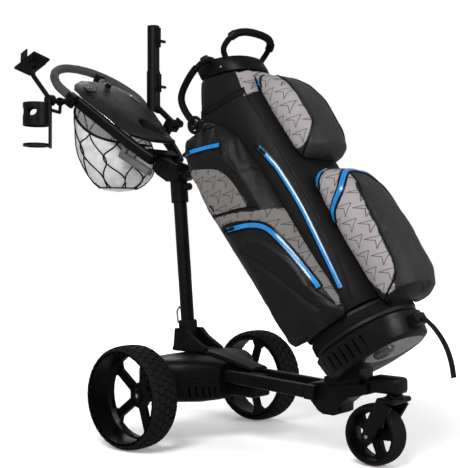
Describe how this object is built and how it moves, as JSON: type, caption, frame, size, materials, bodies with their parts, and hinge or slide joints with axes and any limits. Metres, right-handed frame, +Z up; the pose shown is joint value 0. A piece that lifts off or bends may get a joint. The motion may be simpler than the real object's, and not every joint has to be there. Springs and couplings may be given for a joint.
{
  "type": "golf trolley with bag",
  "caption": "Three-wheeled electric golf trolley with a folding stem, handle console, umbrella, phone and cup holders, carrying a padded cart bag.",
  "frame": {"origin": "middle of the base of the bounding box, on the ground", "axes": "+X the way the trolley travels, +Y its left side, +Z up"},
  "size_m": [1.4242, 0.685, 1.3151],
  "materials": {
    "frame_black": "satin black powder coat",
    "battery_shell": "black",
    "casing_black": "fine-textured black",
    "board_green": "green",
    "fabric_black": "black coated cloth",
    "smoke_plate": "smoky grey",
    "steel": "bright",
    "rim_black": "black",
    "tyre_black": "matt black foam",
    "console_grey": "dark grey, fine-textured",
    "net_grey": "pale grey mesh",
    "pad_grey": "mid grey",
    "foam_black": "matt black foam",
    "fabric_charcoal": "charcoal heather cloth",
    "fabric_grey": "warm grey cloth with dark line pattern"
  },
  "bodies": {
    "chassis": {"bag_tray": "frame_black", "battery_pack": "battery_shell", "drive_motor_left": "casing_black", "drive_motor_right": "casing_black", "frame_rail_left": "frame_black", "frame_rail_right": "frame_black", "front_neck": "frame_black", "motor_controller": "board_green", "rail_bay": "casing_black", "rear_casing_bottom": "casing_black", "rear_casing_top": "casing_black", "stem_foot": "casing_black", "strap_tail": "fabric_black", "tray_window": "smoke_plate"},
    "wheel_right": {"drive_shaft_right": "steel", "rear_rim_right": "rim_black", "rear_tyre_right": "tyre_black"},
    "wheel_left": {"drive_shaft_left": "steel", "rear_rim_left": "rim_black", "rear_tyre_left": "tyre_black"},
    "caster_fork": {"caster_axle": "steel", "caster_fork": "frame_black"},
    "caster_wheel": {"caster_rim": "rim_black", "caster_tyre": "tyre_black"},
    "stem": {"bag_cradle": "frame_black", "hinge_yoke": "frame_black", "stem_sleeve": "frame_black", "stem_tube": "frame_black"},
    "lever": {"latch_lever": "steel"},
    "stem_knob": {"stem_knob": "frame_black"},
    "handle": {"accessory_mount": "frame_black", "console_base": "casing_black", "console_cover": "console_grey", "console_net": "net_grey", "fold_lever": "pad_grey", "grip_loop": "foam_black", "handle_hub": "frame_black", "side_bar_left": "frame_black", "side_bar_right": "frame_black", "thumb_housing": "casing_black", "umbrella_socket": "frame_black"},
    "function_button": {"function_button": "casing_black"},
    "speed_dial": {"speed_dial": "casing_black"},
    "thumb_button": {"thumb_button": "pad_grey"},
    "umbrella_knob": {"umbrella_knob": "frame_black"},
    "umbrella_lower": {"umbrella_tube_lower": "casing_black"},
    "umbrella_upper": {"umbrella_tube_upper": "casing_black"},
    "wing_screw_lower": {"wing_screw_lower": "frame_black"},
    "wing_screw_upper": {"wing_screw_upper": "frame_black"},
    "phone_arm": {"phone_arm": "frame_black"},
    "phone_cradle": {"phone_cradle": "casing_black"},
    "phone_jaw": {"phone_jaw": "casing_black"},
    "cup_holder": {"cup_holder": "casing_black"},
    "bag": {"bag_base": "fabric_black", "bag_body": "fabric_black", "bag_rim": "casing_black", "ball_pocket": "fabric_charcoal", "front_pocket_lower": "fabric_charcoal", "side_pocket_left": "fabric_grey", "side_pocket_right": "fabric_grey"}
  },
  "joints": [
    {"name": "wheel_left_spin", "type": "hinge", "parent": "chassis", "child": "wheel_left", "pos_m": [-0.12794, 0.298, 0.145], "axis": [0, 1, 0], "continuous": true},
    {"name": "wheel_right_spin", "type": "hinge", "parent": "chassis", "child": "wheel_right", "pos_m": [-0.12794, -0.267, 0.145], "axis": [0, 1, 0], "continuous": true},
    {"name": "caster_swivel", "type": "hinge", "parent": "chassis", "child": "caster_fork", "pos_m": [0.54806, 0.0155, 0.168], "axis": [0, 0, 1], "continuous": true},
    {"name": "caster_spin", "type": "hinge", "parent": "caster_fork", "child": "caster_wheel", "pos_m": [0.49006, 0.0155, 0.0804], "axis": [0, 1, 0], "continuous": true},
    {"name": "stem_fold", "type": "hinge", "parent": "chassis", "child": "stem", "pos_m": [-0.17194, 0.0155, 0.285], "axis": [0, 1, 0], "range_deg": [0, 70]},
    {"name": "bag_lift_off", "type": "slide", "parent": "chassis", "child": "bag", "axis": [0.8339, 0, 0.5519], "range_m": [0, 1.35]},
    {"name": "latch_lever_flip", "type": "hinge", "parent": "stem", "child": "lever", "pos_m": [-0.2026, 0.0155, 0.33045], "axis": [0, -1, 0], "range_deg": [0, 45]},
    {"name": "stem_knob_turn", "type": "hinge", "parent": "stem", "child": "stem_knob", "pos_m": [-0.18592, 0.0155, 0.74759], "axis": [0.996, 0, 0.0889], "range_deg": [-180, 180]},
    {"name": "handle_tilt", "type": "hinge", "parent": "stem", "child": "handle", "pos_m": [-0.26594, 0.0155, 0.811], "axis": [0, 1, 0], "range_deg": [-25, 15]},
    {"name": "function_button_press", "type": "slide", "parent": "handle", "child": "function_button", "axis": [-0.6225, 0, -0.7826], "range_m": [0, 0.0014], "stiffness_N_per_m": 300, "springref_m": -0.004},
    {"name": "speed_dial_turn", "type": "hinge", "parent": "handle", "child": "speed_dial", "pos_m": [-0.55726, 0.0275, 1.09828], "axis": [0.6225, 0, 0.7826], "range_deg": [-140, 140]},
    {"name": "thumb_knob_turn", "type": "hinge", "parent": "handle", "child": "thumb_button", "pos_m": [-0.65051, 0.0815, 1.1359], "axis": [-0.7826, 0, 0.6225], "range_deg": [-135, 135]},
    {"name": "umbrella_knob_turn", "type": "hinge", "parent": "handle", "child": "umbrella_knob", "pos_m": [-0.37942, 0.1867, 0.97649], "axis": [0, 1, 0], "range_deg": [-180, 180]},
    {"name": "umbrella_tilt", "type": "hinge", "parent": "handle", "child": "umbrella_lower", "pos_m": [-0.37942, 0.1605, 0.97649], "axis": [0, 1, 0], "range_deg": [0, 35]},
    {"name": "umbrella_height", "type": "slide", "parent": "umbrella_lower", "child": "umbrella_upper", "axis": [-0.0042, 0, 1], "range_m": [-0.018, 0.05]},
    {"name": "wing_screw_lower_turn", "type": "hinge", "parent": "umbrella_lower", "child": "wing_screw_lower", "pos_m": [-0.44028, 0.1605, 1.102], "axis": [1, 0, 0], "range_deg": [-180, 180]},
    {"name": "wing_screw_upper_turn", "type": "hinge", "parent": "umbrella_upper", "child": "wing_screw_upper", "pos_m": [-0.44323, 0.1605, 1.257], "axis": [1, 0, 0], "range_deg": [-180, 180]},
    {"name": "phone_arm_swing", "type": "hinge", "parent": "handle", "child": "phone_arm", "pos_m": [-0.51394, -0.2465, 1.018], "axis": [0, 1, 0], "range_deg": [-35, 25]},
    {"name": "phone_cradle_tilt", "type": "hinge", "parent": "phone_arm", "child": "phone_cradle", "pos_m": [-0.60244, -0.242, 1.1285], "axis": [0, 1, 0], "range_deg": [-8, 12]},
    {"name": "phone_jaw_slide", "type": "slide", "parent": "phone_cradle", "child": "phone_jaw", "axis": [-0.0971, -0.9588, 0.2669], "range_m": [0, 0.022]},
    {"name": "cup_holder_swing", "type": "hinge", "parent": "handle", "child": "cup_holder", "pos_m": [-0.51394, -0.2085, 1.018], "axis": [0, 1, 0], "range_deg": [-40, 40]}
  ],
  "couplings": [
    {"joint": "bag_lift_off", "follows": "stem_fold", "m_per_rad": 1.0641}
  ]
}
